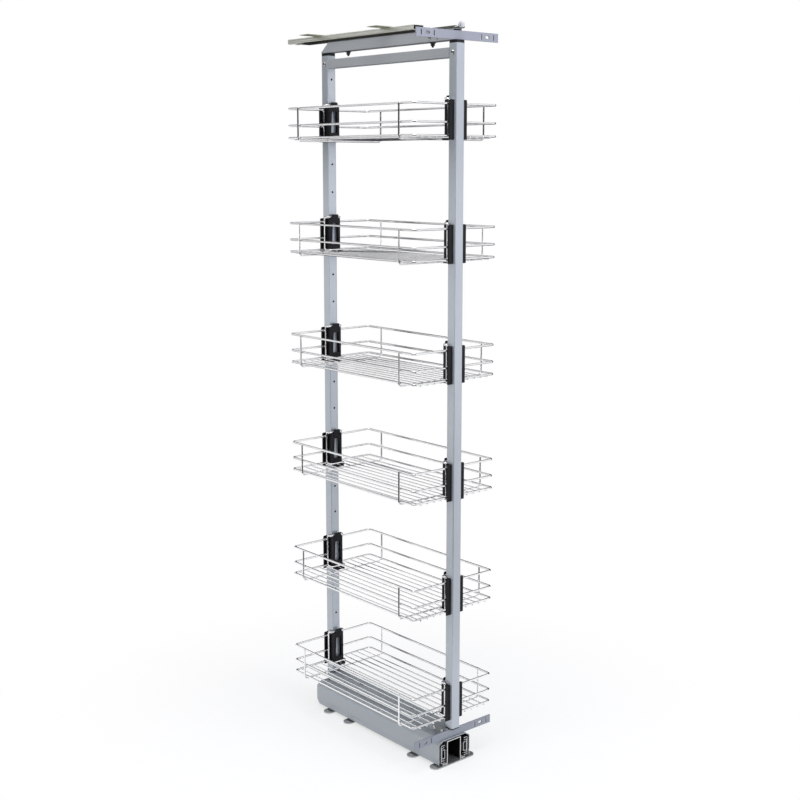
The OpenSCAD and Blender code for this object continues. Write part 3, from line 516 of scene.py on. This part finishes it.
for k in tiers:
    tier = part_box(f"basket_{k}")[0][2] + rim_above_foot
    beads = bmesh.new()
    for (x, y, z), squashed in bead_spots:
        made = bmesh.ops.create_uvsphere(beads, u_segments=8, v_segments=6, radius=1)
        for vert in made["verts"]:
            # A saddle: the bead climbs a little along each of its two wires.
            rise = saddle * (vert.co.x ** 2 - vert.co.y ** 2)
            vert.co = Vector((bead_half * vert.co.x, bead_half * vert.co.y,
                              bead_flat * (vert.co.z + rise)))
        if squashed != "Z":
            turn = Matrix.Rotation(math.radians(90), 3, "Y" if squashed == "X" else "X")
            bmesh.ops.rotate(beads, verts=made["verts"], cent=(0, 0, 0), matrix=turn)
        bmesh.ops.translate(beads, verts=made["verts"], vec=(x, y, tier + z))
    for face in beads.faces:
        face.smooth = True
    bead_mesh = bpy.data.meshes.new(f"weld_beads_{k}")
    beads.to_mesh(bead_mesh)
    beads.free()
    bead_mesh.materials.append(wire_chrome)
    weld_beads = bpy.data.objects.new(f"weld_beads_{k}", bead_mesh)
    bpy.context.scene.collection.objects.link(weld_beads)
    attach(weld_beads, f"basket_{k}")


# ---- Studio floor and room -----------------------------------------------------------
# A white floor that keeps the object's shadow, in a white room. The eye and mirrors see
# the room plain white, and its light on the object is softer.

def seen_ray(tree):
    """1 for the rays of the eye, of mirrors and of glass, and 0 for the light's own."""
    rays = tree.nodes.new("ShaderNodeLightPath")
    seen = rays.outputs["Is Camera Ray"]
    for other in ("Is Glossy Ray", "Is Transmission Ray"):
        either = tree.nodes.new("ShaderNodeMath")
        either.operation = "MAXIMUM"
        tree.links.new(seen, either.inputs[0])
        tree.links.new(rays.outputs[other], either.inputs[1])
        seen = either.outputs[0]
    return seen


floor_half = 9
floor_mesh = bpy.data.meshes.new("studio_floor")
floor_shape = bmesh.new()
bmesh.ops.create_grid(floor_shape, x_segments=2, y_segments=2, size=floor_half)
floor_shape.to_mesh(floor_mesh)
floor_shape.free()
floor = bpy.data.objects.new("studio_floor", floor_mesh)
bpy.context.scene.collection.objects.link(floor)
floor_white, floor_shader = shader(
    "floor_white", (0.95, 0.95, 0.95), metallic=0, roughness=0.9)
floor_shader.inputs["Specular IOR Level"].default_value = 0.1
floor_glow = node(floor_white, "ShaderNodeEmission", Color=(1, 1, 1, 1), Strength=1)
# The shadow shows round the object and fades out to plain white at 1.1 m from the middle.
fade_from, fade_to, share_of_white = 0.35, 1.1, 0.62
floor_reach = node(floor_white, "ShaderNodeVectorMath", operation="LENGTH")
floor_mixed = node(floor_white, "ShaderNodeMixShader")
join(floor_white, (object_pattern(floor_white), floor_reach.inputs[0]))
floor_share = math_node(
    floor_white, "MULTIPLY",
    spread(floor_white, floor_reach.outputs["Value"], share_of_white, 1,
           start=fade_from, stop=fade_to, blend="SMOOTHSTEP"),
    seen_ray(floor_white.node_tree))
join(floor_white,
     (floor_share, floor_mixed.inputs[0]),
     (floor_shader.outputs[0], floor_mixed.inputs[1]),
     (floor_glow.outputs[0], floor_mixed.inputs[2]),
     (floor_mixed.outputs[0],
      floor_white.node_tree.nodes["Material Output"].inputs["Surface"]))
floor_mesh.materials.append(floor_white)

world = bpy.data.worlds.new("white_room")
bpy.context.scene.world = world
world.use_nodes = True
room = world.node_tree
room.nodes.clear()
room_light = room.nodes.new("ShaderNodeBackground")
room_light.inputs["Color"].default_value = (0.93, 0.96, 1.0, 1)
room_light.inputs["Strength"].default_value = 0.55
room_white = room.nodes.new("ShaderNodeBackground")
room_white.inputs["Color"].default_value = (1, 1, 1, 1)
room_white.inputs["Strength"].default_value = 1.0
room_mix = room.nodes.new("ShaderNodeMixShader")
room_out = room.nodes.new("ShaderNodeOutputWorld")
for source, target in (
        (seen_ray(room), room_mix.inputs[0]),
        (room_light.outputs[0], room_mix.inputs[1]),
        (room_white.outputs[0], room_mix.inputs[2]),
        (room_mix.outputs[0], room_out.inputs["Surface"])):
    room.links.new(source, target)


# ---- Dark cards ----------------------------------------------------------------------
# Card panels on a funnel round the object, which mirrors alone see. The chrome takes its
# dark lines from the cards and its white from the gaps between them, on the left and on
# the right of the object.

card_panels, card_rows, card_height = 36, 17, 3.4
foot_radius, rim_radius, above_floor = 1.1, 2.6, 0.01
left_gap_at = 130
# The top of each band of cards, in metres, and half its left and right gap, in degrees.
card_bands = ((0.70, 18, 10), (1.45, 55, 24), (1.95, 0, 10), (2.90, 46, 46))


def in_a_gap(place):
    """Whether a panel whose middle is at place is left out of the cards."""
    off_left = math.degrees(math.atan2(place.y, place.x)) - left_gap_at
    off_nearest = abs((off_left + 90) % 180 - 90)
    on_left = math.cos(math.radians(off_left)) > 0
    for top, left_half, right_half in card_bands:
        if place.z < top:
            return off_nearest < (left_half if on_left else right_half)
    return False


cards = bmesh.new()
bmesh.ops.create_cone(cards, cap_ends=False, segments=card_panels, radius1=foot_radius,
                      radius2=rim_radius, depth=card_height)
upright = [edge for edge in cards.edges
           if abs(edge.verts[0].co.z - edge.verts[1].co.z) > card_height / 2]
bmesh.ops.subdivide_edges(cards, edges=upright, cuts=card_rows - 1)
bmesh.ops.translate(cards, verts=cards.verts, vec=(0, 0, card_height / 2 + above_floor))
gaps = [panel for panel in cards.faces if in_a_gap(panel.calc_center_median())]
bmesh.ops.delete(cards, geom=gaps, context="FACES")
cards_mesh = bpy.data.meshes.new("dark_cards")
cards.to_mesh(cards_mesh)
cards.free()
dark_cards = bpy.data.objects.new("dark_cards", cards_mesh)
bpy.context.scene.collection.objects.link(dark_cards)
card_black = shader("card_black", (0.02, 0.02, 0.022), metallic=0, roughness=1)[0]
cards_mesh.materials.append(card_black)
dark_cards.visible_camera = False
dark_cards.visible_diffuse = False
dark_cards.visible_shadow = False
dark_cards.visible_transmission = False


# ---- Lamps and camera ----------------------------------------------------------------
# Soft lamps in front, on the left and above, all turned to the middle of the object. The
# camera stands in front on the left and looks a little down.

def softbox(name, place, size, watts, color):
    """A lamp with a soft rectangular face, turned to the middle of the object."""
    middle = Vector((0, 0, 0.9))
    lamp = bpy.data.lights.new(name, "AREA")
    lamp.shape = "RECTANGLE"
    lamp.size, lamp.size_y = size
    lamp.energy = watts
    lamp.color = color
    holder = bpy.data.objects.new(name, lamp)
    bpy.context.scene.collection.objects.link(holder)
    holder.location = place
    holder.rotation_euler = (middle - Vector(place)).to_track_quat("-Z", "Y").to_euler()


softbox("front_lamp", place=(0.9, -3.4, 1.7), size=(1.6, 2.4), watts=62,
        color=(0.90, 0.93, 1.0))
softbox("left_lamp", place=(-3.4, -0.3, 1.9), size=(1.6, 2.4), watts=40,
        color=(1.0, 1.0, 0.97))
softbox("top_lamp", place=(-0.4, -0.3, 3.6), size=(2.2, 2.2), watts=40,
        color=(1.0, 1.0, 1.0))

picture_width, focal_length = 800, 1287.4
heading, tilt = math.radians(40.456), math.radians(-9.364)
sight = Vector((math.sin(heading) * math.cos(tilt), math.cos(heading) * math.cos(tilt),
                math.sin(tilt)))
camera_data = bpy.data.cameras.new("camera")
camera_data.sensor_width = 36
camera_data.lens = focal_length / picture_width * camera_data.sensor_width
camera_data.shift_y = -0.03
camera_data.clip_end = 50
camera = bpy.data.objects.new("camera", camera_data)
bpy.context.scene.collection.objects.link(camera)
camera.location = (-2.0207, -2.4101, 1.4465)
camera.rotation_euler = sight.to_track_quat("-Z", "Y").to_euler()
bpy.context.scene.camera = camera

bpy.context.scene.view_settings.view_transform = "Standard"
